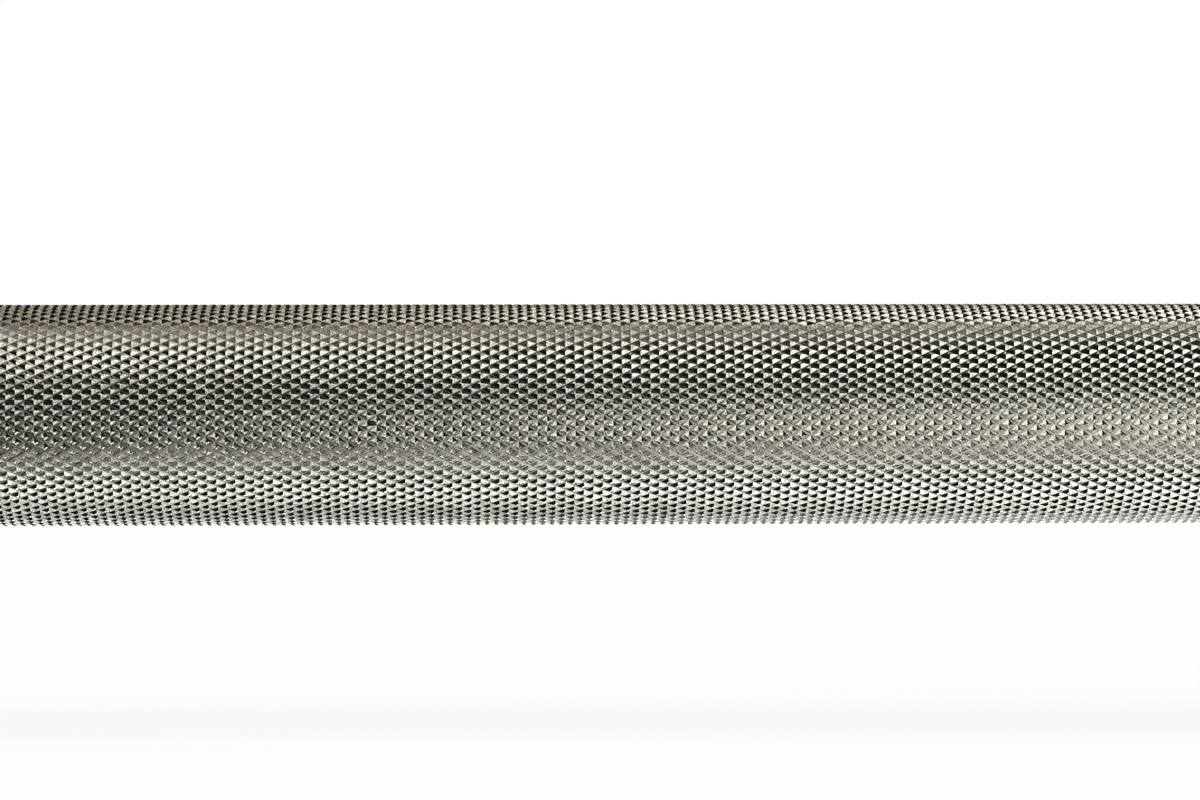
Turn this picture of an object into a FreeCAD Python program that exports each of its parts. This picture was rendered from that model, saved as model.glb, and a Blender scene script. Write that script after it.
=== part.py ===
# Olympic barbell: a knurled steel shaft with a plate sleeve turning on each end.
# Each sleeve runs on a flanged bronze bush and four caged needle bearings.
# The bar lies along X with its middle at the origin and +Z up. All sizes are in millimetres.
import FreeCAD
import Part

import math
import os

X_AXIS = FreeCAD.Vector(1, 0, 0)
Z_AXIS = FreeCAD.Vector(0, 0, 1)
ORIGIN = FreeCAD.Vector(0, 0, 0)

# The whole bar
OVERALL_LENGTH = 2200.0
GRIP_LENGTH = 1310.0  # between the inner faces of the two collars
SHAFT_DIAMETER = 28.0  # of the smooth steel
SLEEVE_DIAMETER = 50.0  # takes plates with a 50.4 mm bore

# Knurled bands, which stand a little proud of the smooth steel
KNURL_RISE = 0.2
CENTRE_KNURL_LENGTH = 120.0
GRIP_KNURL_LENGTH = 445.0  # from the collar towards the middle
KNURL_END_GAP = 5.0  # smooth steel left beside the collar
RING_SPACING = 910.0  # between the two smooth hand marks
RING_WIDTH = 5.0

# Journals, the turned-down ends of the shaft inside the sleeves
THRUST_SHOULDER = 1.5  # height of the step that stops the sleeve
SHAFT_END_CHAMFER = 1.5
CENTRE_DRILL_DIAMETER = 8.0
CENTRE_DRILL_DEPTH = 7.0

# Collar, shrunk on a raised seat at the inner end of the sleeve
COLLAR_DIAMETER = 80.0
COLLAR_WIDTH = 30.0
COLLAR_HUB_DIAMETER = 62.0
COLLAR_TAPER = 9.0
COLLAR_ROUNDING = 2.0
COLLAR_SEAT_RISE = 0.5  # height of the seat above the sleeve's plate surface

# Sleeve ends
SLEEVE_CHAMFER = 2.5
SLEEVE_CHAMFER_LENGTH = 4.0
BORE_STOP = 1.0  # height of the step that the bearings are pressed against
MOUTH_BREAK = 0.6  # broken edge of the sleeve's openings

# Dust seal in the mouth of the collar
SEAL_INSET = 0.8
SEAL_WIDTH = 4.0
SEAL_LIP = 1.2
SEAL_TO_SHOULDER = 2.2

# Flanged bronze bush
FLANGE_LAND = 2.0
FLANGE_THICKNESS = 3.0
BUSH_LENGTH = 18.0
BUSH_CHAMFER = 0.5

# Drawn-cup needle bearings
BEARING_WIDTH = 20.0
BEARING_GAP = 1.0
BEARING_INSET = 0.5  # below the floor of the washer chamber
ROLLER_DIAMETER = 2.5
ROLLER_COUNT = 16
CUP_WALL = 1.0
CUP_LIP = 0.8
CUP_LIP_CLEARANCE = 0.6
CAGE_WALL = 1.2
CAGE_RIM = 1.2

# Thrust washer and the ring that holds the sleeve on the shaft
WASHER_LAND = 3.0
WASHER_THICKNESS = 2.0
SHAFT_RING_THICKNESS = 1.2
SHAFT_RING_DEPTH = 0.6  # depth of its groove
SHAFT_RING_LAND = 4.0  # steel left between the groove and the shaft's end
SHAFT_RING_WIDTH = 3.4  # at the thick back of the ring

# End cap and the ring that holds it in the sleeve
CAP_THICKNESS = 6.0
CAP_SEAT = 1.0
CAP_TO_SHAFT = 2.0
CAP_DISH_DEPTH = 1.2
CAP_RIM = 5.0
CAP_RING_INSET = 2.5
CAP_RING_THICKNESS = 1.75
CAP_RING_DEPTH = 1.25
CAP_RING_WIDTH = 4.2

# Ears of the two rings
RING_GAP = 7.0
EAR_RADIUS = 2.2
EAR_HOLE_RADIUS = 1.0
RING_TAPER = 0.25  # share of the width that a ring loses towards its ears

# Clearances
RUNNING_FIT = 0.05
ROLLER_PLAY = 0.02
POCKET_PLAY = 0.1
CAGE_PLAY = 0.2
END_FLOAT = 0.25  # axial play of the sleeve each way
GROOVE_SLACK = 0.1
WASHER_CLEARANCE = 0.5

# Radii that follow from the sizes above
SHAFT_R = SHAFT_DIAMETER / 2
KNURL_R = SHAFT_R + KNURL_RISE
JOURNAL_R = SHAFT_R - THRUST_SHOULDER
ROLLER_PITCH_R = JOURNAL_R + ROLLER_DIAMETER / 2
RACEWAY_R = JOURNAL_R + ROLLER_DIAMETER
SEAT_R = RACEWAY_R + CUP_WALL
BORE_R = SEAT_R - BORE_STOP
MOUTH_R = SEAT_R + FLANGE_LAND
CHAMBER_R = SEAT_R + WASHER_LAND
CAP_R = CHAMBER_R + CAP_SEAT
SLEEVE_R = SLEEVE_DIAMETER / 2
COLLAR_SEAT_R = SLEEVE_R + COLLAR_SEAT_RISE
SHAFT_GROOVE_R = JOURNAL_R - SHAFT_RING_DEPTH
CAP_GROOVE_R = CAP_R + CAP_RING_DEPTH

# Places along the right half of the bar, from the collar outwards
COLLAR_X = GRIP_LENGTH / 2
PLATE_FACE_X = COLLAR_X + COLLAR_WIDTH
SEAL_X = COLLAR_X + SEAL_INSET
SHOULDER_X = SEAL_X + SEAL_WIDTH + SEAL_TO_SHOULDER
FLANGE_X = SHOULDER_X + END_FLOAT
BUSH_SEAT_X = FLANGE_X + FLANGE_THICKNESS
BUSH_END_X = BUSH_SEAT_X + BUSH_LENGTH
INNER_BEARINGS_X = [BUSH_END_X + BEARING_GAP + i * (BEARING_WIDTH + BEARING_GAP) for i in range(2)]
INNER_STOP_X = INNER_BEARINGS_X[-1] + BEARING_WIDTH

# Places along the right half of the bar, from its end inwards
SLEEVE_END_X = OVERALL_LENGTH / 2
CAP_GROOVE_END_X = SLEEVE_END_X - CAP_RING_INSET
CAP_GROOVE_X = CAP_GROOVE_END_X - CAP_RING_THICKNESS - GROOVE_SLACK
CAP_SEAT_X = CAP_GROOVE_X - CAP_THICKNESS
SHAFT_END_X = CAP_SEAT_X - CAP_TO_SHAFT
SHAFT_GROOVE_END_X = SHAFT_END_X - SHAFT_RING_LAND
SHAFT_GROOVE_X = SHAFT_GROOVE_END_X - SHAFT_RING_THICKNESS - GROOVE_SLACK
WASHER_X = SHAFT_GROOVE_X - WASHER_THICKNESS
CHAMBER_X = WASHER_X - END_FLOAT
OUTER_BEARINGS_X = [
    CHAMBER_X - BEARING_INSET - BEARING_WIDTH - i * (BEARING_WIDTH + BEARING_GAP) for i in (1, 0)
]
OUTER_STOP_X = OUTER_BEARINGS_X[0]
BEARINGS_X = INNER_BEARINGS_X + OUTER_BEARINGS_X


def turned(profile):
    """Solid of revolution about X from (x, radius) or (x, radius, rounding) corners of a closed outline."""
    corners = [FreeCAD.Vector(point[0], point[1], 0) for point in profile]
    roundings = [point[2] if len(point) > 2 else 0.0 for point in profile]
    arcs = []
    for i, corner in enumerate(corners):
        back = (corners[i - 1] - corner).normalize()
        ahead = (corners[(i + 1) % len(corners)] - corner).normalize()
        half_angle = back.getAngle(ahead) / 2
        reach = roundings[i] / math.tan(half_angle)
        inward = (back + ahead).normalize() if roundings[i] else ORIGIN
        middle = corner + inward * (roundings[i] / math.sin(half_angle) - roundings[i])
        arcs.append((corner + back * reach, middle, corner + ahead * reach))
    edges = []
    for i, (start, middle, end) in enumerate(arcs):
        if roundings[i]:
            edges.append(Part.Arc(start, middle, end).toShape())
        edges.append(Part.LineSegment(end, arcs[(i + 1) % len(arcs)][0]).toShape())
    return Part.Face(Part.Wire(edges)).revolve(ORIGIN, X_AXIS, 360)


def cylinder(radius, x, length, y=0.0, z=0.0):
    """Cylinder along X that starts at x, with its axis at y and z."""
    return Part.makeCylinder(radius, length, FreeCAD.Vector(x, y, z), X_AXIS)


def knurled_band(start, end):
    """Outline of one proud band with its edges broken at 45 degrees."""
    return [
        (start, SHAFT_R),
        (start + KNURL_RISE, KNURL_R),
        (end - KNURL_RISE, KNURL_R),
        (end, SHAFT_R),
    ]


def shaft():
    """The one-piece shaft: centre knurl, two grips split by hand marks, and a journal on each end."""
    half_centre = CENTRE_KNURL_LENGTH / 2
    grip_start = COLLAR_X - GRIP_KNURL_LENGTH
    ring_start = RING_SPACING / 2
    right = [(half_centre - KNURL_RISE, KNURL_R), (half_centre, SHAFT_R)]
    right += knurled_band(grip_start, ring_start)
    right += knurled_band(ring_start + RING_WIDTH, COLLAR_X - KNURL_END_GAP)
    right += [
        (SHOULDER_X, SHAFT_R),
        (SHOULDER_X, JOURNAL_R),
        (SHAFT_GROOVE_X, JOURNAL_R),
        (SHAFT_GROOVE_X, SHAFT_GROOVE_R),
        (SHAFT_GROOVE_END_X, SHAFT_GROOVE_R),
        (SHAFT_GROOVE_END_X, JOURNAL_R),
        (SHAFT_END_X - SHAFT_END_CHAMFER, JOURNAL_R),
        (SHAFT_END_X, JOURNAL_R - SHAFT_END_CHAMFER),
        (SHAFT_END_X, CENTRE_DRILL_DIAMETER / 2),
        (SHAFT_END_X - CENTRE_DRILL_DEPTH, 0.0),
    ]
    left = [(-x, radius) for x, radius in reversed(right)]
    return turned(left + right)


def sleeve():
    """The plate sleeve: a tube bored in steps for the seal, bush, bearings, washer, cap and cap ring."""
    return turned([
        (COLLAR_X, COLLAR_SEAT_R),
        (COLLAR_X, MOUTH_R + MOUTH_BREAK),
        (COLLAR_X + MOUTH_BREAK, MOUTH_R),
        (BUSH_SEAT_X, MOUTH_R),
        (BUSH_SEAT_X, SEAT_R),
        (INNER_STOP_X, SEAT_R),
        (INNER_STOP_X, BORE_R),
        (OUTER_STOP_X, BORE_R),
        (OUTER_STOP_X, SEAT_R),
        (CHAMBER_X, SEAT_R),
        (CHAMBER_X, CHAMBER_R),
        (CAP_SEAT_X, CHAMBER_R),
        (CAP_SEAT_X, CAP_R),
        (CAP_GROOVE_X, CAP_R),
        (CAP_GROOVE_X, CAP_GROOVE_R),
        (CAP_GROOVE_END_X, CAP_GROOVE_R),
        (CAP_GROOVE_END_X, CAP_R),
        (SLEEVE_END_X - MOUTH_BREAK, CAP_R),
        (SLEEVE_END_X, CAP_R + MOUTH_BREAK),
        (SLEEVE_END_X, SLEEVE_R - SLEEVE_CHAMFER),
        (SLEEVE_END_X - SLEEVE_CHAMFER_LENGTH, SLEEVE_R),
        (PLATE_FACE_X, SLEEVE_R),
        (PLATE_FACE_X, COLLAR_SEAT_R),
    ])


def collar():
    """The collar that plates are pushed against: flat on the plate side, tapered to a hub on the grip side."""
    hub_r = COLLAR_HUB_DIAMETER / 2
    collar_r = COLLAR_DIAMETER / 2
    return turned([
        (COLLAR_X, COLLAR_SEAT_R),
        (COLLAR_X, hub_r, COLLAR_ROUNDING),
        (COLLAR_X + COLLAR_TAPER, collar_r, COLLAR_ROUNDING),
        (PLATE_FACE_X, collar_r, COLLAR_ROUNDING),
        (PLATE_FACE_X, COLLAR_SEAT_R),
    ])


def dust_seal():
    """Rubber lip seal pressed into the sleeve's mouth, with its lip running on the shaft."""
    lip_r = SHAFT_R + RUNNING_FIT
    body_r = (lip_r + MOUTH_R) / 2
    end = SEAL_X + SEAL_WIDTH
    return turned([
        (SEAL_X, lip_r),
        (SEAL_X, MOUTH_R),
        (end, MOUTH_R),
        (end, body_r),
        (SEAL_X + SEAL_LIP, body_r),
        (SEAL_X + SEAL_LIP / 2, lip_r),
    ])


def flanged_bush():
    """Bronze bush whose flange runs against the shaft's shoulder."""
    inner_r = JOURNAL_R + RUNNING_FIT
    return turned([
        (FLANGE_X, inner_r),
        (FLANGE_X, MOUTH_R),
        (BUSH_SEAT_X, MOUTH_R),
        (BUSH_SEAT_X, SEAT_R),
        (BUSH_END_X - BUSH_CHAMFER, SEAT_R),
        (BUSH_END_X, SEAT_R - BUSH_CHAMFER),
        (BUSH_END_X, inner_r),
    ])


def bearing_cup(x):
    """Drawn steel cup of a needle bearing, with a lip at each end that keeps the cage in."""
    end = x + BEARING_WIDTH
    lip_r = JOURNAL_R + CUP_LIP_CLEARANCE
    return turned([
        (x, lip_r),
        (x, SEAT_R, CUP_LIP),
        (end, SEAT_R, CUP_LIP),
        (end, lip_r),
        (end - CUP_LIP, lip_r),
        (end - CUP_LIP, RACEWAY_R),
        (x + CUP_LIP, RACEWAY_R),
        (x + CUP_LIP, lip_r),
    ])


def around_bar(shape, count):
    """Copies of a shape spaced evenly about the bar's axis, as one compound."""
    copies = []
    for i in range(count):
        copy = shape.copy()
        copy.rotate(ORIGIN, X_AXIS, 360.0 * i / count)
        copies.append(copy)
    return Part.makeCompound(copies)


def cage_span(x):
    """First and last place of a bearing's cage along the bar."""
    return x + CUP_LIP + CAGE_PLAY, x + BEARING_WIDTH - CUP_LIP - CAGE_PLAY


def bearing_rollers(x):
    """The needles of one bearing, each a separate solid."""
    start, end = cage_span(x)
    margin = CAGE_RIM + POCKET_PLAY
    radius = ROLLER_DIAMETER / 2 - ROLLER_PLAY
    needle = cylinder(radius, start + margin, end - start - 2 * margin, z=ROLLER_PITCH_R)
    return around_bar(needle, ROLLER_COUNT)


def bearing_cage(x):
    """Ring with one pocket for each needle."""
    start, end = cage_span(x)
    inner_r = ROLLER_PITCH_R - CAGE_WALL / 2
    outer_r = ROLLER_PITCH_R + CAGE_WALL / 2
    ring = turned([(start, inner_r), (start, outer_r), (end, outer_r), (end, inner_r)])
    width = ROLLER_DIAMETER + 2 * POCKET_PLAY
    corner = FreeCAD.Vector(start + CAGE_RIM, -width / 2, inner_r - CAGE_WALL)
    pocket = Part.makeBox(end - start - 2 * CAGE_RIM, width, 3 * CAGE_WALL, corner)
    return ring.cut(around_bar(pocket, ROLLER_COUNT))


def thrust_washer():
    """Steel washer between the sleeve and the ring on the shaft's end."""
    inner_r = JOURNAL_R + RUNNING_FIT
    outer_r = CHAMBER_R - WASHER_CLEARANCE
    return turned([
        (WASHER_X, inner_r),
        (WASHER_X, outer_r),
        (SHAFT_GROOVE_X, outer_r),
        (SHAFT_GROOVE_X, inner_r),
    ])


def retaining_ring(x, thickness, band, ear_r, bore=None):
    """Open spring ring at x from its uncut band, with two drilled ears beside a gap at the top."""
    spread = RING_GAP / 2 + EAR_RADIUS
    height = math.sqrt(ear_r**2 - spread**2)
    ring = band
    for side in (-spread, spread):
        ring = ring.fuse(cylinder(EAR_RADIUS, x, thickness, side, height))
    gap = Part.makeBox(thickness, RING_GAP, SLEEVE_R, FreeCAD.Vector(x, -RING_GAP / 2, 0))
    ring = ring.cut(gap)
    if bore:
        ring = ring.cut(bore)
    for side in (-spread, spread):
        ring = ring.cut(cylinder(EAR_HOLE_RADIUS, x, thickness, side, height))
    return ring.removeSplitter()


def shaft_ring():
    """Outside ring in the shaft's groove, thickest opposite its gap."""
    inner_r = SHAFT_GROOVE_R
    taper = SHAFT_RING_WIDTH * RING_TAPER / 2
    outer_r = inner_r + SHAFT_RING_WIDTH - taper
    thickness = SHAFT_RING_THICKNESS
    bore = cylinder(inner_r, SHAFT_GROOVE_X, thickness)
    band = cylinder(outer_r, SHAFT_GROOVE_X, thickness, z=-taper).cut(bore)
    return retaining_ring(SHAFT_GROOVE_X, thickness, band, inner_r + EAR_RADIUS, bore)


def cap_ring():
    """Inside ring in the sleeve's groove, thickest opposite its gap, with ears that point inwards."""
    outer_r = CAP_GROOVE_R - GROOVE_SLACK
    taper = CAP_RING_WIDTH * RING_TAPER / 2
    inner_r = outer_r - CAP_RING_WIDTH + taper
    x = CAP_GROOVE_X + GROOVE_SLACK / 2
    band = cylinder(outer_r, x, CAP_RING_THICKNESS)
    band = band.cut(cylinder(inner_r, x, CAP_RING_THICKNESS, z=taper))
    ear_r = outer_r - CAP_RING_DEPTH - EAR_RADIUS
    return retaining_ring(x, CAP_RING_THICKNESS, band, ear_r)


def end_cap():
    """Dished disc that closes the sleeve's outer end."""
    cap_r = CAP_R - RUNNING_FIT
    return turned([
        (CAP_SEAT_X, 0.0),
        (CAP_SEAT_X, cap_r),
        (CAP_GROOVE_X, cap_r),
        (CAP_GROOVE_X, cap_r - CAP_RIM),
        (CAP_GROOVE_X - CAP_DISH_DEPTH, cap_r - CAP_RIM - CAP_DISH_DEPTH),
        (CAP_GROOVE_X - CAP_DISH_DEPTH, 0.0),
    ])


def right_end():
    """All pieces of the bar's right end by name."""
    pieces = {
        "sleeve": sleeve(),
        "collar": collar(),
        "dust_seal": dust_seal(),
        "flanged_bush": flanged_bush(),
        "thrust_washer": thrust_washer(),
        "shaft_ring": shaft_ring(),
        "end_cap": end_cap(),
        "cap_ring": cap_ring(),
    }
    for number, x in enumerate(BEARINGS_X, start=1):
        pieces[f"bearing_cup_{number}"] = bearing_cup(x)
        pieces[f"bearing_cage_{number}"] = bearing_cage(x)
        pieces[f"bearing_rollers_{number}"] = bearing_rollers(x)
    return pieces


def barbell():
    """Every piece of the bar by name. The left end has the same pieces turned end for end."""
    pieces = {"shaft": shaft()}
    for name, piece in right_end().items():
        pieces[f"right_{name}"] = piece
        turned_round = piece.copy()
        turned_round.rotate(ORIGIN, Z_AXIS, 180)
        pieces[f"left_{name}"] = turned_round
    return pieces


def main():
    """Writes one file per piece."""
    os.makedirs("parts", exist_ok=True)
    for name, piece in barbell().items():
        piece.exportStep(f"parts/{name}.step")


main()
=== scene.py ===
"""Looks of a straight barbell: rolled diamond knurl, smooth steel, plate sleeves, and the studio."""

import logging
import math
from dataclasses import dataclass
from enum import Enum
from typing import ClassVar, Sequence

import bpy
from mathutils import Matrix, Vector


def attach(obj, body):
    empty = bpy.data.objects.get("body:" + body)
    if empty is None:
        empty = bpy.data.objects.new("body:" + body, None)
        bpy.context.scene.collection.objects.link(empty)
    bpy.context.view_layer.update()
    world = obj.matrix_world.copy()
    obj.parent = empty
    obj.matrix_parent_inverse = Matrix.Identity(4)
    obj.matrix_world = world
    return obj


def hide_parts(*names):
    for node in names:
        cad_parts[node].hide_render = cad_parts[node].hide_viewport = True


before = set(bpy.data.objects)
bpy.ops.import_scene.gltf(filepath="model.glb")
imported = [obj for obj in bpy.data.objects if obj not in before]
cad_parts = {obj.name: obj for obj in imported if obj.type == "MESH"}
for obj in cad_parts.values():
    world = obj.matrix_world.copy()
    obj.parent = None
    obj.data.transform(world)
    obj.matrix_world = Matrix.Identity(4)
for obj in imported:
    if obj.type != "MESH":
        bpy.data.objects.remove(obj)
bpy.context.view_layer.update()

MM = 0.001
LOG = logging.getLogger("barbell")

Colour = tuple[float, float, float]
Place = tuple[float, float, float]
Span = tuple[float, float]
Outline = Sequence[tuple[float, float]]


class Side(Enum):
    """The two ends of the bar, each with its sign along X."""

    LEFT = -1
    RIGHT = 1

    @property
    def label(self) -> str:
        """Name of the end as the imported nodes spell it."""
        return self.name.lower()


class Slot(Enum):
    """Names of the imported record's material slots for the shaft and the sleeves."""

    SHAFT = "shaft_steel"
    SLEEVE = "sleeve_chrome"


class Bench:
    """Hand tools: short calls for Blender's own modelling operators. All sizes are in metres.

    Attributes:
        WELD: corners closer than this become one.
        TURNED_CREASE_DEG: edges of a turned piece that are sharper than this stay sharp.
    """

    WELD = 0.0005 * MM
    TURNED_CREASE_DEG = 30.0

    @staticmethod
    def put_down() -> None:
        """Leaves edit mode and deselects every object."""
        if bpy.context.mode != "OBJECT":
            bpy.ops.object.mode_set(mode="OBJECT")
        bpy.ops.object.select_all(action="DESELECT")

    @staticmethod
    def take_up(name: str) -> bpy.types.Object:
        """Names the primitive just added, moves its place into its mesh and opens it in edit mode.

        Args:
            name: name of the piece.

        Returns:
            The piece, with all of its mesh selected.
        """
        piece = bpy.context.object
        piece.name = name
        piece.data.name = name
        bpy.ops.object.transform_apply(location=True, rotation=True, scale=True)
        bpy.ops.object.mode_set(mode="EDIT")
        bpy.ops.mesh.select_all(action="SELECT")
        return piece

    @classmethod
    def clean(cls, piece: bpy.types.Object, crease_deg: float) -> None:
        """Merges doubles, turns faces outwards and shades the piece smooth up to an angle.

        Args:
            piece: piece that is open in edit mode.
            crease_deg: edges sharper than this stay sharp.
        """
        bpy.ops.mesh.select_all(action="SELECT")
        bpy.ops.mesh.remove_doubles(threshold=cls.WELD)
        bpy.ops.mesh.normals_make_consistent(inside=False)
        cls.put_down()
        piece.select_set(True)
        bpy.context.view_layer.objects.active = piece
        bpy.ops.object.shade_smooth_by_angle(angle=math.radians(crease_deg))
        bpy.ops.object.select_all(action="DESELECT")

    @classmethod
    def turn(cls, name: str, outline: Outline, segments: int, tube: bool) -> bpy.types.Object:
        """Turns a piece about the bar's axis: a ring is extruded from corner to corner of an outline.

        Args:
            name: name of the piece.
            outline: (x, radius) corners, with every radius above zero.
            segments: flats around the piece.
            tube: True to run back to the first corner, False to close both ends with a flat face.

        Returns:
            The finished piece.
        """
        cls.put_down()
        x, radius = outline[0]
        bpy.ops.mesh.primitive_circle_add(
            vertices=segments, radius=radius, location=(x, 0, 0), rotation=(0, math.pi / 2, 0)
        )
        piece = cls.take_up(name)
        for next_x, next_radius in [*outline[1:], *(outline[:1] if tube else [])]:
            bpy.ops.mesh.extrude_edges_move(TRANSFORM_OT_translate={"value": (next_x - x, 0, 0)})
            scale = next_radius / radius
            bpy.ops.transform.resize(value=(1, scale, scale), center_override=(next_x, 0, 0))
            x, radius = next_x, next_radius
        if not tube:
            bpy.ops.mesh.select_all(action="SELECT")
            bpy.ops.mesh.fill_holes(sides=0)
        cls.clean(piece, cls.TURNED_CREASE_DEG)
        return piece

    @staticmethod
    def dress(piece: bpy.types.Object, material: bpy.types.Material) -> None:
        """Gives a piece one material in place of any that it has.

        Args:
            piece: piece to dress.
            material: its material.
        """
        piece.data.materials.clear()
        piece.data.materials.append(material)


class Board:
    """One node tree, with short calls that place nodes and join them.

    Attributes:
        MIX_FIRST: place of the first colour among a mix node's inputs.
        MIX_SECOND: place of the second colour.
        MIX_RESULT: place of the mixed colour among its outputs.
    """

    MIX_FIRST = 6
    MIX_SECOND = 7
    MIX_RESULT = 2

    def __init__(self, tree: bpy.types.NodeTree) -> None:
        """Takes a tree and empties it.

        Args:
            tree: node tree of a material, a world or a group.
        """
        self.tree = tree
        self.tree.nodes.clear()

    def add(self, kind: str, **settings: object) -> bpy.types.Node:
        """Places a node.

        Args:
            kind: Blender's name for the node.
            settings: properties of the node.

        Returns:
            The node.
        """
        node = self.tree.nodes.new(kind)
        for name, value in settings.items():
            setattr(node, name, value)
        return node

    def feed(self, socket: bpy.types.NodeSocket, value: object) -> None:
        """Joins a socket to another, or sets its value.

        Args:
            socket: input socket.
            value: output socket, number, colour or vector.
        """
        if isinstance(value, bpy.types.NodeSocket):
            self.tree.links.new(value, socket)
        elif isinstance(value, tuple) and socket.type == "RGBA":
            socket.default_value = (*value, 1.0)
        else:
            socket.default_value = value

    def sum(self, operation: str, *values: object) -> bpy.types.NodeSocket:
        """Places a math node.

        Args:
            operation: Blender's name for the operation.
            values: numbers or sockets.

        Returns:
            The result.
        """
        node = self.add("ShaderNodeMath", operation=operation)
        for socket, value in zip(node.inputs, values):
            self.feed(socket, value)
        return node.outputs[0]

    def span(self, value: object, ends: Span, to: Span = (0, 1)) -> bpy.types.NodeSocket:
        """Maps one range smoothly to another and clamps it.

        Args:
            value: number or socket.
            ends: the two ends of the range that it comes from.
            to: the two ends of the range that it goes to.

        Returns:
            The mapped value.
        """
        node = self.add("ShaderNodeMapRange", interpolation_type="SMOOTHSTEP")
        for socket, entry in zip(node.inputs, (value, *ends, *to)):
            self.feed(socket, entry)
        return node.outputs[0]

    def mix(self, share: object, first: object, second: object, blend: str = "MIX") -> bpy.types.NodeSocket:
        """Mixes two colours.

        Args:
            share: how much of the second shows.
            first: colour or socket.
            second: colour or socket.
            blend: Blender's name for the way they are mixed.

        Returns:
            The mixed colour.
        """
        node = self.add("ShaderNodeMix", data_type="RGBA", blend_type=blend)
        self.feed(node.inputs["Factor"], share)
        self.feed(node.inputs[self.MIX_FIRST], first)
        self.feed(node.inputs[self.MIX_SECOND], second)
        return node.outputs[self.MIX_RESULT]

    def noise(self, place: object, scale: object, detail: float, roughness: float) -> bpy.types.NodeSocket:
        """Places a noise texture.

        Args:
            place: coordinates.
            scale: spots per metre.
            detail: octaves.
            roughness: share of the fine octaves.

        Returns:
            The noise, about 0.5 on average.
        """
        node = self.add("ShaderNodeTexNoise")
        self.feed(node.inputs["Vector"], place)
        self.feed(node.inputs["Scale"], scale)
        self.feed(node.inputs["Detail"], detail)
        self.feed(node.inputs["Roughness"], roughness)
        return node.outputs[0]

    def place(self) -> bpy.types.NodeSocket:
        """Places the object coordinates."""
        return self.add("ShaderNodeTexCoord").outputs["Object"]

    def stretched(self, stretch: Place) -> bpy.types.NodeSocket:
        """Places the object coordinates with a scale of their own along each axis.

        Args:
            stretch: scale along each axis.

        Returns:
            The coordinates.
        """
        mapping = self.add("ShaderNodeMapping")
        self.feed(mapping.inputs["Vector"], self.place())
        self.feed(mapping.inputs["Scale"], stretch)
        return mapping.outputs[0]


class Effects:
    """Node groups that the finishes use.

    Attributes:
        GRAIN_FINENESS: how many times finer the grain is than the patches.
        LINE_STRETCH: how fast the lines change along the bar and, much slower, across it.
        SPECK_LEVEL: noise that makes a speck where the amount of specks is 0.
        SPECK_EDGE: rise of the noise from the edge of a speck to its full colour.
    """

    GRAIN_FINENESS = 5.0
    LINE_STRETCH = (9000.0, 60.0, 60.0)
    SPECK_LEVEL = 0.86
    SPECK_EDGE = (0.0, 0.05)

    _made: dict[str, bpy.types.NodeTree] = {}

    @classmethod
    def _group(
        cls, name: str, inputs: dict[str, float], outputs: Sequence[str]
    ) -> tuple[Board, bpy.types.NodeOutputs, bpy.types.NodeInputs]:
        """Makes an empty group.

        Args:
            name: name of the group.
            inputs: number inputs with their usual values.
            outputs: number outputs.

        Returns:
            The board, the input node's sockets and the output node's sockets.
        """
        tree = bpy.data.node_groups.new(name, "ShaderNodeTree")
        board = Board(tree)
        for label, usual in inputs.items():
            socket = tree.interface.new_socket(label, in_out="INPUT", socket_type="NodeSocketFloat")
            socket.default_value = usual
        for label in outputs:
            tree.interface.new_socket(label, in_out="OUTPUT", socket_type="NodeSocketFloat")
        cls._made[name] = tree
        return board, board.add("NodeGroupInput").outputs, board.add("NodeGroupOutput").inputs

    @classmethod
    def mottle(cls) -> bpy.types.NodeTree:
        """Uneven steel: broad patches and a fine grain.

        Returns:
            The group, with Scale in and Patches and Grain out.
        """
        name = "steel_mottle"
        if name not in cls._made:
            board, given, out = cls._group(name, {"Scale": 1000.0}, ("Patches", "Grain"))
            place = board.place()
            board.feed(out["Patches"], board.noise(place, given["Scale"], detail=3.0, roughness=0.6))
            fine = board.sum("MULTIPLY", given["Scale"], cls.GRAIN_FINENESS)
            board.feed(out["Grain"], board.noise(place, fine, detail=2.0, roughness=0.7))
        return cls._made[name]

    @classmethod
    def lathe_lines(cls) -> bpy.types.NodeTree:
        """Fine lines around the bar, as turning and polishing leave them.

        Returns:
            The group, with Scale in and Lines out.
        """
        name = "lathe_lines"
        if name not in cls._made:
            board, given, out = cls._group(name, {"Scale": 1.0}, ("Lines",))
            place = board.stretched(cls.LINE_STRETCH)
            board.feed(out["Lines"], board.noise(place, given["Scale"], detail=4.0, roughness=0.65))
        return cls._made[name]

    @classmethod
    def specks(cls) -> bpy.types.NodeTree:
        """Scattered small spots of rust and grime.

        Returns:
            The group, with Scale and Amount in and Mask out.
        """
        name = "rust_specks"
        if name not in cls._made:
            board, given, out = cls._group(name, {"Scale": 500.0, "Amount": 0.1}, ("Mask",))
            spots = board.noise(board.place(), given["Scale"], detail=2.0, roughness=0.6)
            level = board.sum("SUBTRACT", cls.SPECK_LEVEL, given["Amount"])
            board.feed(out["Mask"], board.span(board.sum("SUBTRACT", spots, level), cls.SPECK_EDGE))
        return cls._made[name]


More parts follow.
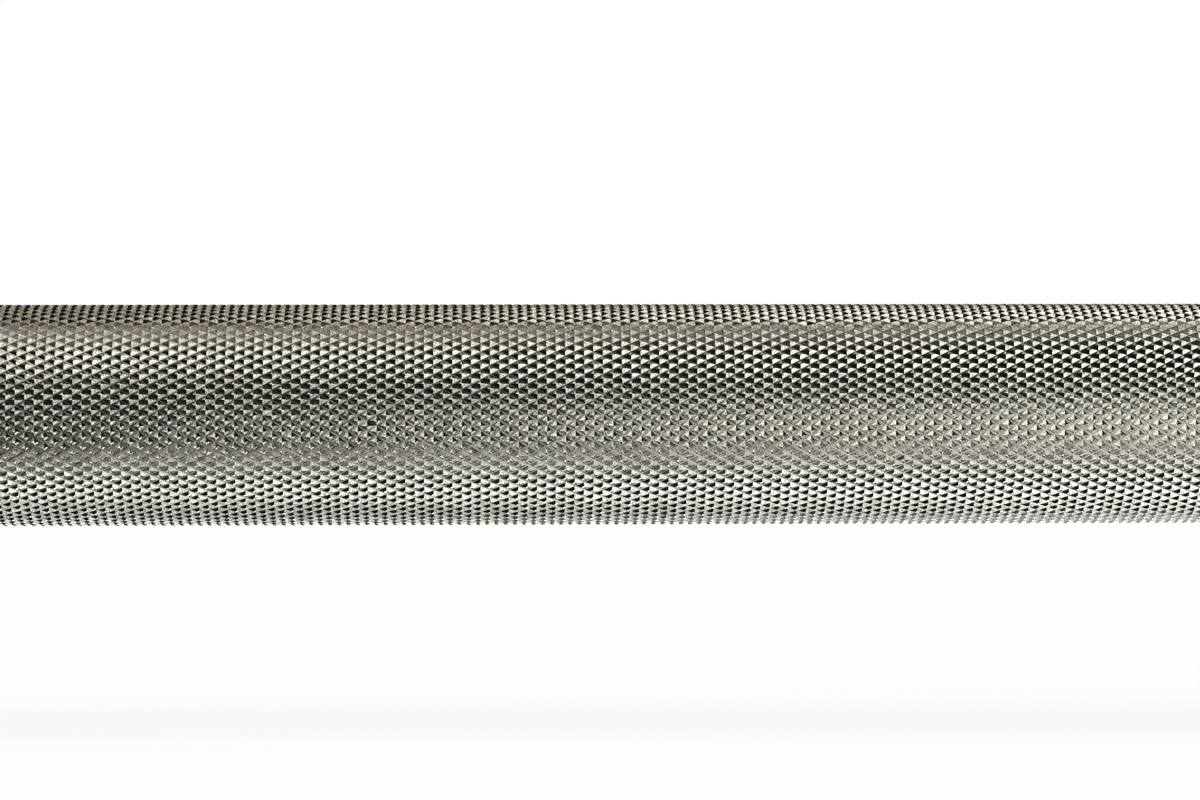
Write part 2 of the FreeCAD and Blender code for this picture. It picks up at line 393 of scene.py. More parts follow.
@dataclass(frozen=True)
class Finish:
    """A finish: its name, base colour and evenness. Each kind paints its own nodes.

    Attributes:
        NOISE_ENDS: the two ends that most of a noise lies between.
        name: name of the material.
        colour: base colour.
        roughness: average roughness.
        unevenness: how far the roughness swings around its average.
    """

    NOISE_ENDS: ClassVar[Span] = (0.3, 0.7)

    name: str
    colour: Colour
    roughness: float
    unevenness: float

    def make(self) -> bpy.types.Material:
        """Makes the material.

        Returns:
            The material.
        """
        material = bpy.data.materials.new(self.name)
        material.use_nodes = True
        board = Board(material.node_tree)
        shader = board.add("ShaderNodeBsdfPrincipled")
        board.feed(board.add("ShaderNodeOutputMaterial").inputs[0], shader.outputs[0])
        self.paint(board, shader)
        return material

    def group(self, board: Board, tree: bpy.types.NodeTree, **values: float) -> bpy.types.NodeOutputs:
        """Places a shared effect.

        Args:
            board: the material's board.
            tree: the effect.
            values: values for its inputs.

        Returns:
            The effect's outputs.
        """
        node = board.add("ShaderNodeGroup", node_tree=tree)
        for label, value in values.items():
            board.feed(node.inputs[label], value)
        return node.outputs

    def shade(self, share: float) -> Colour:
        """The base colour times a share."""
        return tuple(share * part for part in self.colour)

    def tone(self, board: Board, noise: object, ends: Span, shares: Span) -> bpy.types.NodeSocket:
        """Colour that swings between two shares of the base colour.

        Args:
            board: the material's board.
            noise: noise that drives the swing.
            ends: noise that gives the first share and noise that gives the second.
            shares: the two shares.

        Returns:
            The colour.
        """
        first, second = shares
        return board.mix(board.span(noise, ends), self.shade(first), self.shade(second))

    def wear(self, board: Board, shader: bpy.types.Node, noise: object) -> None:
        """Swings the roughness around its average.

        Args:
            board: the material's board.
            shader: its Principled node.
            noise: noise that drives the swing.
        """
        swing = (self.roughness - self.unevenness, self.roughness + self.unevenness)
        board.feed(shader.inputs["Roughness"], board.span(noise, self.NOISE_ENDS, swing))

    def bump(self, board: Board, shader: bpy.types.Node, height: object, depth: float) -> None:
        """Raises the surface by a height.

        Args:
            board: the material's board.
            shader: the shader to bump.
            height: height socket.
            depth: depth in metres.
        """
        node = board.add("ShaderNodeBump")
        board.feed(node.inputs["Strength"], 1.0)
        board.feed(node.inputs["Distance"], depth)
        board.feed(node.inputs["Height"], height)
        board.feed(shader.inputs["Normal"], node.outputs[0])

    def paint(self, board: Board, shader: bpy.types.Node) -> None:
        """Joins this finish's own nodes to the shader.

        Args:
            board: the material's board.
            shader: its Principled node.
        """
        raise NotImplementedError


@dataclass(frozen=True)
class KnurledSteel(Finish):
    """Rolled uncoated steel: base colour darker towards the bottom of the grooves, mottled flanks and a few
    specks of rust.

    Attributes:
        root_radius: radius at the bottom of the grooves.
        crest_radius: radius over the tips.
        mottle_scale: patches per metre.
        mottle_ends: noise at the darkest and at the brightest patch.
        flank_shares: darkest and brightest patch as shares of the base colour.
        groove_share: groove as a share of the base colour.
        groove_ends: shares of the tooth's height where the groove's colour starts to fade and is gone.
        speck_scale: spots of the specks' noise per metre.
        speck_amount: how far the noise that makes a speck is lowered, which makes more of them.
        rust: colour of a speck.
        patch_relief: weight of the patches in the relief.
        grain_relief: weight of the grain in the relief.
        relief_depth: depth of the relief in metres.
    """

    root_radius: float
    crest_radius: float
    mottle_scale: float = 4200.0
    mottle_ends: Span = (0.4, 0.59)
    flank_shares: Span = (0.48, 1.3)
    groove_share: float = 0.85
    groove_ends: Span = (0.02, 0.2)
    speck_scale: float = 1500.0
    speck_amount: float = 0.11
    rust: Colour = (0.3, 0.15, 0.06)
    patch_relief: float = 2.0
    grain_relief: float = 0.3
    relief_depth: float = 0.006 * MM

    def height(self, board: Board) -> bpy.types.NodeSocket:
        """Finds the height of a point above the groove.

        Args:
            board: the material's board.

        Returns:
            0 at the bottom of the grooves and 1 at the tips.
        """
        axes = board.add("ShaderNodeSeparateXYZ")
        board.feed(axes.inputs[0], board.place())
        squares = [board.sum("MULTIPLY", axes.outputs[axis], axes.outputs[axis]) for axis in "YZ"]
        radius = board.sum("SQRT", board.sum("ADD", *squares))
        return board.span(radius, (self.root_radius, self.crest_radius))

    def paint(self, board: Board, shader: bpy.types.Node) -> None:
        """Paints by height above the groove, with mottle and specks over it.

        Args:
            board: the material's board.
            shader: its Principled node.
        """
        mottle = self.group(board, Effects.mottle(), Scale=self.mottle_scale)
        specks = self.group(board, Effects.specks(), Scale=self.speck_scale, Amount=self.speck_amount)
        flank = self.tone(board, mottle["Patches"], self.mottle_ends, self.flank_shares)
        # The base colour is darker towards the bottom of the grooves: groove_share there, fading to the
        # flank's colour by groove_ends.
        out_of_groove = board.span(self.height(board), self.groove_ends)
        grooved = board.mix(out_of_groove, self.shade(self.groove_share), flank)
        board.feed(shader.inputs["Base Color"], board.mix(specks["Mask"], grooved, self.rust))
        self.wear(board, shader, mottle["Grain"])
        shader.inputs["Metallic"].default_value = 1.0
        patches = board.sum("MULTIPLY", mottle["Patches"], self.patch_relief)
        grain = board.sum("MULTIPLY", mottle["Grain"], self.grain_relief)
        self.bump(board, shader, board.sum("ADD", patches, grain), self.relief_depth)


@dataclass(frozen=True)
class TurnedMetal(Finish):
    """Turned or ground metal: fine lines around the axis and light patches.

    Attributes:
        line_depth: depth of the lines in metres.
        line_scale: how close the lines lie.
        line_ends: noise where a line starts to show and where it shows in full.
        line_share: line as a share of the base colour.
        patch_scale: patches per metre.
        patch_shares: darkest and brightest patch as shares of the base colour.
    """

    line_depth: float
    line_scale: float
    line_ends: Span = (0.6, 0.75)
    line_share: float = 0.82
    patch_scale: float = 90.0
    patch_shares: Span = (0.9, 1.04)

    def paint(self, board: Board, shader: bpy.types.Node) -> None:
        """Paints lathe lines over slightly uneven metal.

        Args:
            board: the material's board.
            shader: its Principled node.
        """
        lines = self.group(board, Effects.lathe_lines(), Scale=self.line_scale)["Lines"]
        patches = self.group(board, Effects.mottle(), Scale=self.patch_scale)["Patches"]
        tone = self.tone(board, patches, self.NOISE_ENDS, self.patch_shares)
        lined = board.mix(board.span(lines, self.line_ends), tone, self.shade(self.line_share))
        board.feed(shader.inputs["Base Color"], lined)
        self.wear(board, shader, patches)
        shader.inputs["Metallic"].default_value = 1.0
        self.bump(board, shader, lines, self.line_depth)


@dataclass(frozen=True)
class Grained(Finish):
    """A surface with soft patches and an even grain.

    Attributes:
        grain_scale: patches per metre.
        patch_shares: darkest and brightest patch as shares of the base colour.
        grain_depth: depth of the grain in metres.
        metallic: 1 for metal, 0 for anything else.
    """

    grain_scale: float
    patch_shares: Span
    grain_depth: float
    metallic: float

    def paint(self, board: Board, shader: bpy.types.Node) -> None:
        """Paints patches and grain.

        Args:
            board: the material's board.
            shader: its Principled node.
        """
        mottle = self.group(board, Effects.mottle(), Scale=self.grain_scale)
        tone = self.tone(board, mottle["Patches"], self.NOISE_ENDS, self.patch_shares)
        board.feed(shader.inputs["Base Color"], tone)
        self.wear(board, shader, mottle["Grain"])
        shader.inputs["Metallic"].default_value = self.metallic
        self.bump(board, shader, mottle["Grain"], self.grain_depth)


@dataclass(frozen=True)
class PlainMetal(Grained):
    """Pressed, sintered or coated metal."""

    grain_scale: float = 700.0
    patch_shares: Span = (0.82, 1.08)
    grain_depth: float = 0.004 * MM
    metallic: float = 1.0


@dataclass(frozen=True)
class Rubber(Grained):
    """Moulded black rubber with a fine matt grain."""

    grain_scale: float = 900.0
    patch_shares: Span = (0.8, 1.5)
    grain_depth: float = 0.01 * MM
    metallic: float = 0.0


@dataclass(frozen=True)
class Knurl:
    """The rolled diamond knurl. All sizes are in metres.

    Attributes:
        pitch: from tooth to tooth along the bar.
        teeth: teeth around the bar.
        root_radius: radius at the bottom of the grooves.
        crest_radius: radius over the tips.
        groove_flat: half the width of the flat at the bottom of a groove.
        top_share: size of the tooth's open top as a share of its foot.
        dimple: depth of the dimple that rolling leaves in that top.
        scatter: how far rolling leaves a corner from its true place.
        scatter_seed: seed of that scatter.
        start: place of one tooth along the bar.
        turn_deg: turn of that tooth about the bar.
        spare: pitches that are rolled past each end before the band is cut to length.
        weld: corners closer than this become one.
        cut_gap: corners closer than this to a cut lie on it.
        crease_deg: edges sharper than this stay sharp.
    """

    pitch: float = 2.368 * MM
    teeth: int = 67
    root_radius: float = 13.9 * MM
    crest_radius: float = 14.2 * MM
    groove_flat: float = 0.04 * MM
    top_share: float = 0.3
    dimple: float = 0.06 * MM
    scatter: float = 0.018 * MM
    scatter_seed: int = 5
    start: float = 302.148 * MM
    turn_deg: float = 1.38
    spare: int = 1
    weld: float = 0.002 * MM
    cut_gap: float = 0.0001 * MM
    crease_deg: float = 14.0

    @property
    def half_step(self) -> float:
        """Half the angle from tooth to tooth around the bar."""
        return math.pi / self.teeth

    @property
    def drop(self) -> float:
        """How far the two sides of a tooth's foot lie below its two ends."""
        return self.root_radius * (1 - math.cos(self.half_step))

    def rotate(self, angle: float) -> None:
        """Rotates what is selected about the bar by an angle in radians."""
        bpy.ops.transform.rotate(value=angle, orient_axis="X", center_override=(0, 0, 0))

    def foot(self, name: str, x: float) -> bpy.types.Object:
        """Lays the diamond that one tooth stands on, bent over the top of the bar.

        Args:
            name: name of the piece.
            x: place of the tooth along the bar.

        Returns:
            The diamond, open in edit mode with all of it selected.
        """
        half_width = self.root_radius * math.sin(self.half_step)
        Bench.put_down()
        bpy.ops.mesh.primitive_circle_add(
            vertices=4, radius=1, fill_type="NGON", location=(x, 0, self.root_radius)
        )
        bpy.context.object.scale = (self.pitch / 2, half_width, 1)
        piece = Bench.take_up(name)
        bpy.ops.object.mode_set(mode="OBJECT")
        for vertex in piece.data.vertices:
            vertex.select = abs(vertex.co.y) > half_width / 2
        for part in (*piece.data.edges, *piece.data.polygons):
            part.select = False
        bpy.ops.object.mode_set(mode="EDIT")
        bpy.ops.transform.translate(value=(0, 0, -self.drop))
        bpy.ops.mesh.select_all(action="SELECT")
        return piece

    def tooth(self, name: str, x: float) -> bpy.types.Object:
        """Models one tooth on the top of the bar and its neighbour half a pitch and half a step on.

        Args:
            name: name of the piece.
            x: place of the first tooth along the bar.

        Returns:
            The pair, open in edit mode.
        """
        piece = self.foot(name, x)
        bpy.ops.mesh.inset(thickness=self.groove_flat, depth=0)
        middle = self.root_radius - self.drop / 2
        rise = self.crest_radius - middle
        bpy.ops.mesh.extrude_region_move(TRANSFORM_OT_translate={"value": (0, 0, rise)})
        share = self.top_share
        bpy.ops.transform.resize(value=(share, share, 1), center_override=(x, 0, middle + rise))
        bpy.ops.mesh.extrude_region_move(TRANSFORM_OT_translate={"value": (0, 0, -self.dimple)})
        bpy.ops.mesh.merge(type="CENTER")
        bpy.ops.mesh.select_all(action="SELECT")
        bpy.ops.mesh.duplicate_move(TRANSFORM_OT_translate={"value": (self.pitch / 2, 0, 0)})
        self.rotate(self.half_step)
        return piece

    def band(self, name: str, start: float, end: float) -> bpy.types.Object:
        """Models a knurled length of the bar.

        Args:
            name: name of the piece.
            start: where it starts along the bar.
            end: where it ends.

        Returns:
            The finished piece, closed at both ends.
        """
        first = math.floor((start - self.start) / self.pitch) - self.spare
        piece = self.tooth(name, self.start + first * self.pitch)
        bpy.ops.object.mode_set(mode="OBJECT")
        row = piece.modifiers.new("row", "ARRAY")
        row.count = math.ceil((end - start) / self.pitch) + 2 * self.spare + 1
        row.use_relative_offset = False
        row.use_constant_offset = True
        row.constant_offset_displace = (self.pitch, 0, 0)
        bpy.ops.object.modifier_apply(modifier=row.name)
        bpy.ops.object.mode_set(mode="EDIT")
        bpy.ops.mesh.select_all(action="SELECT")
        copies = self.teeth - 1
        around = 2 * math.pi * copies / self.teeth
        bpy.ops.mesh.spin(steps=copies, dupli=True, angle=around, center=(0, 0, 0), axis=(1, 0, 0))
        bpy.ops.mesh.select_all(action="SELECT")
        self.rotate(math.radians(self.turn_deg))
        bpy.ops.mesh.remove_doubles(threshold=self.weld)
        bpy.ops.transform.vertex_random(
            offset=self.scatter, uniform=0.0, normal=0.0, seed=self.scatter_seed
        )
        for place, facing in ((start, 1), (end, -1)):
            bpy.ops.mesh.select_all(action="SELECT")
            bpy.ops.mesh.bisect(
                plane_co=(place, 0, 0),
                plane_no=(facing, 0, 0),
                use_fill=True,
                clear_inner=True,
                threshold=self.cut_gap,
            )
        Bench.clean(piece, self.crease_deg)
        return piece


@dataclass(frozen=True)
class Shaft:
    """The one-piece shaft: knurled lengths, smooth steel between them, and a journal on each end.

    Attributes:
        knurl: the rolled diamond.
        radius: radius of the smooth steel.
        under_knurl: radius of the core under a knurled length.
        centre_half: half the length of the middle knurl.
        grip_start: where a grip starts.
        mark_start: where its smooth hand mark starts.
        mark_end: where the hand mark ends.
        grip_end: where the grip ends, beside the collar.
        shoulder: where the journal starts.
        journal_radius: radius of the journal.
        groove: start and end of the groove near the shaft's end.
        groove_radius: radius at the bottom of that groove.
        end: end of the shaft.
        chamfer: broken edge of the end.
        drill_radius: radius of the centre drilling in the end.
        drill_depth: depth of that drilling.
        drill_tip: radius of the drilling at its bottom.
        longest: longest knurled piece.
        flats: flats around the core.
    """

    knurl: Knurl
    radius: float = 14.0 * MM
    under_knurl: float = 13.7 * MM
    centre_half: float = 60.0 * MM
    grip_start: float = 210.0 * MM
    mark_start: float = 455.0 * MM
    mark_end: float = 460.0 * MM
    grip_end: float = 650.0 * MM
    shoulder: float = 662.0 * MM
    journal_radius: float = 12.5 * MM
    groove: Span = (1082.35 * MM, 1083.65 * MM)
    groove_radius: float = 11.9 * MM
    end: float = 1087.65 * MM
    chamfer: float = 1.5 * MM
    drill_radius: float = 4.0 * MM
    drill_depth: float = 7.0 * MM
    drill_tip: float = 0.1 * MM
    longest: float = 182.0 * MM
    flats: int = 160

    def core(self) -> bpy.types.Object:
        """Turns the smooth steel, sunk a little under each knurled length.

        Returns:
            The core.
        """
        groove_start, groove_end = self.groove
        right = [
            (self.centre_half, self.under_knurl),
            (self.centre_half, self.radius),
            (self.grip_start, self.radius),
            (self.grip_start, self.under_knurl),
            (self.mark_start, self.under_knurl),
            (self.mark_start, self.radius),
            (self.mark_end, self.radius),
            (self.mark_end, self.under_knurl),
            (self.grip_end, self.under_knurl),
            (self.grip_end, self.radius),
            (self.shoulder, self.radius),
            (self.shoulder, self.journal_radius),
            (groove_start, self.journal_radius),
            (groove_start, self.groove_radius),
            (groove_end, self.groove_radius),
            (groove_end, self.journal_radius),
            (self.end - self.chamfer, self.journal_radius),
            (self.end, self.journal_radius - self.chamfer),
            (self.end, self.drill_radius),
            (self.end - self.drill_depth, self.drill_tip),
        ]
        left = [(-x, radius) for x, radius in reversed(right)]
        return Bench.turn("shaft_core", [*left, *right], self.flats, tube=False)

    def lengths(self) -> dict[str, Span]:
        """Names the knurled pieces with their ends, each short enough for one piece.

        Returns:
            Start and end of each piece.
        """
        cut = self.grip_start + self.longest
        half = (self.mark_end + self.grip_end) / 2
        right = {
            "grip_inner": (self.grip_start, cut),
            "grip_middle": (cut, self.mark_start),
            "grip_outer": (self.mark_end, half),
            "grip_end": (half, self.grip_end),
        }
        pieces = {"centre_knurl": (-self.centre_half, self.centre_half)}
        for name, (start, end) in right.items():
            pieces[f"right_{name}"] = (start, end)
            pieces[f"left_{name}"] = (-end, -start)
        return pieces

    def build(self, smooth: bpy.types.Material, rolled: bpy.types.Material) -> None:
        """Builds and dresses every piece of the shaft.

        Args:
            smooth: finish of the smooth steel.
            rolled: finish of the knurl.
        """
        pieces = [(self.core(), smooth)]
        pieces += [(self.knurl.band(name, *ends), rolled) for name, ends in self.lengths().items()]
        for piece, finish in pieces:
            Bench.dress(piece, finish)
            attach(piece, "shaft")
            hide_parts("shaft")
            LOG.info("%s: %d faces", piece.name, len(piece.data.polygons))


@dataclass(frozen=True)
class PlateSleeve:
    """One plate sleeve, turned finer than its CAD mesh. Places are those of the right sleeve.

    Attributes:
        start: where it starts, beside the grip.
        plate_face: where the collar ends and plates rest.
        end: its outer end.
        radius: radius of the surface that plates slide on.
        collar_seat: radius under the collar.
        lead_in: depth of the chamfer that leads plates on.
        lead_in_length: length of that chamfer.
        edge: broken edge of both openings.
        mouth_radius: bore for the seal and the bush's flange.
        bush_seat: where that flange seats.
        bearing_radius: bore for the bush and the bearings.
        inner_stop: where the inner bearings stop.
        outer_stop: where the outer bearings stop.
        bore_radius: bore between the two stops.
        chamber: where the washer's chamber starts.
        chamber_radius: bore of that chamber.
        cap_seat: where the end cap seats.
        cap_radius: bore for the cap.
        groove: start and end of the groove for the cap's ring.
        groove_radius: radius at the bottom of that groove.
        flats: flats around the sleeve.
    """

    start: float = 655.0 * MM
    plate_face: float = 685.0 * MM
    end: float = 1100.0 * MM
    radius: float = 25.0 * MM
    collar_seat: float = 25.5 * MM
    lead_in: float = 2.5 * MM
    lead_in_length: float = 4.0 * MM
    edge: float = 0.6 * MM
    mouth_radius: float = 18.0 * MM
    bush_seat: float = 665.25 * MM
    bearing_radius: float = 16.0 * MM
    inner_stop: float = 725.25 * MM
    outer_stop: float = 1038.6 * MM
    bore_radius: float = 15.0 * MM
    chamber: float = 1080.1 * MM
    chamber_radius: float = 19.0 * MM
    cap_seat: float = 1089.65 * MM
    cap_radius: float = 20.0 * MM
    groove: Span = (1095.65 * MM, 1097.5 * MM)
    groove_radius: float = 21.25 * MM
    flats: int = 144

    def outline(self) -> Outline:
        """Lists the corners of the right sleeve, through its bore and back over its outside.

        Returns:
            The (x, radius) corners.
        """
        groove_start, groove_end = self.groove
        return [
            (self.start, self.collar_seat),
            (self.start, self.mouth_radius + self.edge),
            (self.start + self.edge, self.mouth_radius),
            (self.bush_seat, self.mouth_radius),
            (self.bush_seat, self.bearing_radius),
            (self.inner_stop, self.bearing_radius),
            (self.inner_stop, self.bore_radius),
            (self.outer_stop, self.bore_radius),
            (self.outer_stop, self.bearing_radius),
            (self.chamber, self.bearing_radius),
            (self.chamber, self.chamber_radius),
            (self.cap_seat, self.chamber_radius),
            (self.cap_seat, self.cap_radius),
            (groove_start, self.cap_radius),
            (groove_start, self.groove_radius),
            (groove_end, self.groove_radius),
            (groove_end, self.cap_radius),
            (self.end - self.edge, self.cap_radius),
            (self.end, self.cap_radius + self.edge),
            (self.end, self.radius - self.lead_in),
            (self.end - self.lead_in_length, self.radius),
            (self.plate_face, self.radius),
            (self.plate_face, self.collar_seat),
        ]

    def build(self, side: Side, finish: bpy.types.Material) -> None:
        """Builds and dresses one sleeve.

        Args:
            side: end of the bar.
            finish: its finish.
        """
        outline = [(side.value * x, radius) for x, radius in self.outline()]
        piece = Bench.turn(f"{side.label}_plate_sleeve", outline, self.flats, tube=True)
        Bench.dress(piece, finish)
        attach(piece, f"{side.label}_sleeve")
        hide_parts(f"{side.label}_sleeve")
        LOG.info("%s: %d faces", piece.name, len(piece.data.polygons))


class SmallPieces:
    """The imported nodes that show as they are, each with the finish of the word in its name."""

    FINISHES: dict[str, Finish] = {
        "collar": TurnedMetal(
            "collar_chrome", (0.72, 0.72, 0.73),
            roughness=0.22, unevenness=0.05, line_depth=0.004 * MM, line_scale=0.5,
        ),
        "dust_seal": Rubber("seal_rubber", (0.025, 0.025, 0.025), roughness=0.6, unevenness=0.1),
        "flanged_bush": PlainMetal("bush_bronze", (0.58, 0.4, 0.2), roughness=0.4, unevenness=0.08),
        "thrust_washer": TurnedMetal(
            "washer_steel", (0.55, 0.55, 0.56),
            roughness=0.3, unevenness=0.06, line_depth=0.003 * MM, line_scale=1.0,
        ),
        "ring": PlainMetal("spring_steel", (0.1, 0.1, 0.11), roughness=0.42, unevenness=0.08),
        "end_cap": TurnedMetal(
            "cap_aluminium", (0.7, 0.71, 0.72),
            roughness=0.3, unevenness=0.06, line_depth=0.006 * MM, line_scale=0.4,
        ),
        "cup": TurnedMetal(
            "bearing_steel", (0.66, 0.66, 0.67),
            roughness=0.2, unevenness=0.04, line_depth=0.002 * MM, line_scale=1.0,
        ),
        "rollers": TurnedMetal(
            "needle_steel", (0.7, 0.7, 0.71),
            roughness=0.14, unevenness=0.03, line_depth=0.001 * MM, line_scale=1.0,
        ),
        "cage": PlainMetal("cage_steel", (0.5, 0.49, 0.47), roughness=0.38, unevenness=0.08),
    }

    def build(self) -> None:
        """Gives each shown node the finish that its name asks for."""
        for word, finish in self.FINISHES.items():
            material = finish.make()
            for name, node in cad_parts.items():
                if f"_{word}" in name:
                    Bench.dress(node, material)
                    LOG.info("%s: %s", name, material.name)


class Tint(Enum):
    """Colours of the soft lights."""

    WHITE = (1.0, 1.0, 1.0)
    CREAM = (1.02, 1.0, 0.87)
    WARM = (1.08, 0.96, 0.72)


@dataclass(frozen=True)
class SoftLight:
    """A round soft light far from the bar.

    Attributes:
        name: what it is in this studio.
        azimuth_deg: direction seen from above: 0 behind the bar, 90 right, 180 at the camera's side.
        elevation_deg: height above the horizon.
        core_deg: angle from its middle that is fully lit.
        edge_deg: angle from its middle where its light ends.
        tint: colour of the light.
        strength: strength of the light, where 1 is white.
    """

    name: str
    azimuth_deg: float
    elevation_deg: float
    core_deg: float
    edge_deg: float
    tint: Tint
    strength: float

    @property
    def colour(self) -> Colour:
        """Colour of the light at its strength."""
        return tuple(self.strength * part for part in self.tint.value)

    def reach(self, board: Board, facing: bpy.types.NodeSocket) -> bpy.types.NodeSocket:
        """Finds how far a direction lies in this light.

        Args:
            board: the world's board.
            facing: direction that is looked at.

        Returns:
            1 inside the light, falling to 0 at its edge.
        """
        azimuth = math.radians(self.azimuth_deg)
        elevation = math.radians(self.elevation_deg)
        level = math.cos(elevation)
        middle = (level * math.sin(azimuth), level * math.cos(azimuth), math.sin(elevation))
        near = board.add("ShaderNodeVectorMath", operation="DOT_PRODUCT", label=self.name)
        board.feed(near.inputs[0], facing)
        board.feed(near.inputs[1], middle)
        ends = (math.cos(math.radians(self.edge_deg)), math.cos(math.radians(self.core_deg)))
        return board.span(near.outputs["Value"], ends)


@dataclass(frozen=True)
class WideLight:
    """A lamp far away that spans a wide angle and faces the middle of the bar.

    Attributes:
        name: name of the lamp.
        place: place that it shines from.
        width_deg: angle that it spans.
        energy: strength of the lamp.
    """

    name: str
    place: Place
    width_deg: float
    energy: float

    def hang(self) -> bpy.types.Object:
        """Hangs the lamp out of the camera's sight.

        Returns:
            The lamp.
        """
        data = bpy.data.lights.new(self.name, "SUN")
        data.energy = self.energy
        data.angle = math.radians(self.width_deg)
        lamp = bpy.data.objects.new(self.name, data)
        bpy.context.scene.collection.objects.link(lamp)
        lamp.location = self.place
        lamp.rotation_euler = (-Vector(self.place)).to_track_quat("-Z", "Y").to_euler()
        lamp.visible_camera = False
        return lamp


@dataclass(frozen=True)
class Studio:
    """Floor, light and camera.

    Attributes:
        floor: height of the floor.
        floor_size: length of the floor's sides in metres.
        floor_paint: colour of the floor.
        floor_glow: share of the floor that shows plain white to the camera.
        look_at: point of the bar's axis that the camera faces.
        lift: height of the camera above the axis.
        distance: from the camera to the axis.
        yaw_deg: turn of the camera about the vertical.
        roll_deg: turn of the camera about its own axis.
        lens: focal length in millimetres.
        sensor: width of the camera's sensor in millimetres.
        sight: nearest and furthest distance that the camera sees.
        spill: light that comes from every side.
        lights: the soft lights around the bar.
        backdrop: the white behind the bar, as metal and glass show it.
        floor_lamp: lamp that casts the shadow on the floor.
        walls: wide lights for the smooth metal alone.
    """

    floor: float = -40.0 * MM
    floor_size: float = 200.0
    floor_paint: Colour = (0.86, 0.86, 0.86)
    floor_glow: float = 0.86
    look_at: float = 301.0 * MM
    lift: float = 1.857 * MM
    distance: float = 488.18 * MM
    yaw_deg: float = 2.0807
    roll_deg: float = -0.1062
    lens: float = 113.6
    sensor: float = 36.0
    sight: Span = (10.0 * MM, 500.0)
    spill: Colour = (0.01, 0.01, 0.01)
    lights: tuple[SoftLight, ...] = (
        SoftLight("window at the front left", 210, 50, 5, 20, Tint.CREAM, 1.0),
        SoftLight("glow around that window", 225, 40, 5, 40, Tint.WARM, 0.3),
        SoftLight("window high on the left", 225, 70, 5, 20, Tint.CREAM, 0.75),
        SoftLight("glow at the back left", 315, 60, 5, 40, Tint.WARM, 0.45),
        SoftLight("window on the right", 120, 20, 5, 20, Tint.CREAM, 0.55),
        SoftLight("wall at the front right", 150, 0, 5, 40, Tint.CREAM, 0.85),
        SoftLight("wall on the right", 105, -10, 15, 45, Tint.WHITE, 0.9),
        SoftLight("foot of the front wall", 150, -20, 5, 40, Tint.CREAM, 0.6),
        SoftLight("table in front", 165, -50, 5, 20, Tint.WHITE, 1.0),
        SoftLight("table on the right", 90, -50, 5, 40, Tint.CREAM, 0.85),
        SoftLight("table below", 180, -80, 10, 30, Tint.WHITE, 0.65),
        SoftLight("white ground behind", 15, -45, 10, 42, Tint.WHITE, 2.9),
    )
    backdrop: SoftLight = SoftLight("backdrop", 0, 0, 6, 22, Tint.WHITE, 1.0)
    floor_lamp: WideLight = WideLight("floor_lamp", (-0.6, -0.5, 3.0), 100, 2.6)
    walls: tuple[WideLight, ...] = (
        WideLight("ceiling_light", (0.0, 0.4, 3.0), 110, 1.6),
        WideLight("left_wall_light", (-3.0, -0.3, 0.7), 80, 0.9),
    )

    def camera(self) -> None:
        """Sets up the camera at the photograph's place."""
        yaw = math.radians(self.yaw_deg)
        roll = math.radians(self.roll_deg)
        ahead = Vector((math.sin(yaw), math.cos(yaw), 0))
        level = Vector((math.cos(yaw), -math.sin(yaw), 0))
        upright = Vector((0, 0, 1))
        right = math.cos(roll) * level + math.sin(roll) * upright
        up = math.cos(roll) * upright - math.sin(roll) * level
        place = Vector((self.look_at, 0, self.lift)) - self.distance * ahead
        data = bpy.data.cameras.new("camera")
        data.lens = self.lens
        data.sensor_width = self.sensor
        data.clip_start, data.clip_end = self.sight
        camera = bpy.data.objects.new("camera", data)
        bpy.context.scene.collection.objects.link(camera)
        turn = Matrix((right, up, -ahead)).transposed().to_4x4()
        camera.matrix_world = Matrix.Translation(place) @ turn
        bpy.context.scene.camera = camera

    def ground(self) -> None:
        """Lays the pale floor, which shows white and keeps a soft shadow."""
        Bench.put_down()
        bpy.ops.mesh.primitive_plane_add(size=self.floor_size, location=(0, 0, self.floor))
        plane = bpy.context.object
        plane.name = "floor"
        material = bpy.data.materials.new("floor_paint")
        material.use_nodes = True
        board = Board(material.node_tree)
        paint = board.add("ShaderNodeBsdfDiffuse")
        board.feed(paint.inputs["Color"], self.floor_paint)
        glow = board.add("ShaderNodeEmission")
        blend = board.add("ShaderNodeMixShader")
        seen = board.add("ShaderNodeLightPath").outputs["Is Camera Ray"]
        board.feed(blend.inputs[0], board.sum("MULTIPLY", seen, self.floor_glow))
        board.feed(blend.inputs[1], paint.outputs[0])
        board.feed(blend.inputs[2], glow.outputs[0])
        board.feed(board.add("ShaderNodeOutputMaterial").inputs[0], blend.outputs[0])
        plane.data.materials.append(material)
        plane.visible_glossy = False

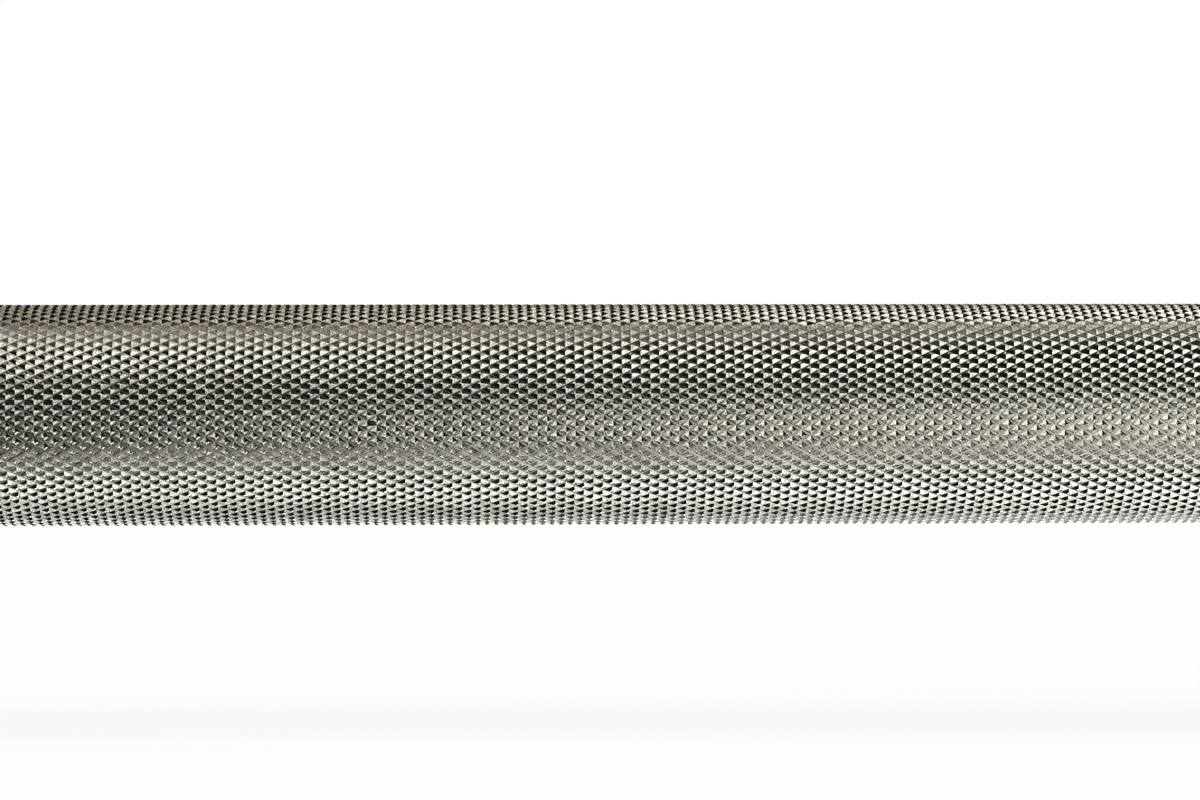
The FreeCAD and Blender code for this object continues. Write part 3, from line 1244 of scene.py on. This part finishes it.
    def sky(self) -> None:
        """Lights the room with the soft lights.

        The camera sees white all round, and metal and glass see it behind the bar.
        """
        world = bpy.data.worlds.new("room")
        bpy.context.scene.world = world
        world.use_nodes = True
        board = Board(world.node_tree)
        facing = board.add("ShaderNodeTexCoord").outputs["Generated"]
        total = board.add("ShaderNodeRGB").outputs[0]
        total.default_value = (*self.spill, 1)
        for light in self.lights:
            total = board.mix(light.reach(board, facing), total, light.colour, "ADD")
        ray = board.add("ShaderNodeLightPath").outputs
        mirrored = board.sum("MAXIMUM", ray["Is Glossy Ray"], ray["Is Transmission Ray"])
        behind = board.sum("MULTIPLY", mirrored, self.backdrop.reach(board, facing))
        shown = board.sum("MAXIMUM", ray["Is Camera Ray"], behind)
        background = board.add("ShaderNodeBackground")
        board.feed(background.inputs[0], board.mix(shown, total, self.backdrop.colour))
        board.feed(board.add("ShaderNodeOutputWorld").inputs[0], background.outputs[0])

    def lamps(self, smooth: Sequence[bpy.types.Object]) -> None:
        """Hangs the lamp for the floor's shadow and the wide lights around the smooth metal.

        Args:
            smooth: pieces that show the wide lights.
        """
        self.floor_lamp.hang().visible_glossy = False
        shown = bpy.data.collections.new("smooth_metal")
        for piece in smooth:
            shown.objects.link(piece)
        for wall in self.walls:
            wall.hang().light_linking.receiver_collection = shown

    def build(self, smooth: Sequence[bpy.types.Object]) -> None:
        """Builds the studio.

        Args:
            smooth: pieces of smooth metal.
        """
        bpy.context.scene.view_settings.view_transform = "Standard"
        self.camera()
        self.ground()
        self.sky()
        self.lamps(smooth)


def main() -> None:
    """Builds the bar and the studio."""
    logging.basicConfig(level=logging.INFO, format="%(message)s")
    knurl = Knurl()
    rolled = KnurledSteel(
        "knurled_steel", (0.715, 0.71, 0.695),
        roughness=0.12, unevenness=0.04, root_radius=knurl.root_radius, crest_radius=knurl.crest_radius,
    )
    smooth = TurnedMetal(
        "shaft_steel", (0.64, 0.63, 0.6),
        roughness=0.27, unevenness=0.05, line_depth=0.004 * MM, line_scale=0.8,
    )
    chrome = TurnedMetal(
        "sleeve_chrome", (0.76, 0.76, 0.76),
        roughness=0.16, unevenness=0.05, line_depth=0.003 * MM, line_scale=0.6,
    )
    Shaft(knurl).build(smooth.make(), rolled.make())
    chromed = chrome.make()
    for side in Side:
        PlateSleeve().build(side, chromed)
    SmallPieces().build()
    names = [*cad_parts, "shaft_core", *(f"{side.label}_plate_sleeve" for side in Side)]
    Studio().build([bpy.data.objects[name] for name in names])


if __name__ == "__main__":
    main()
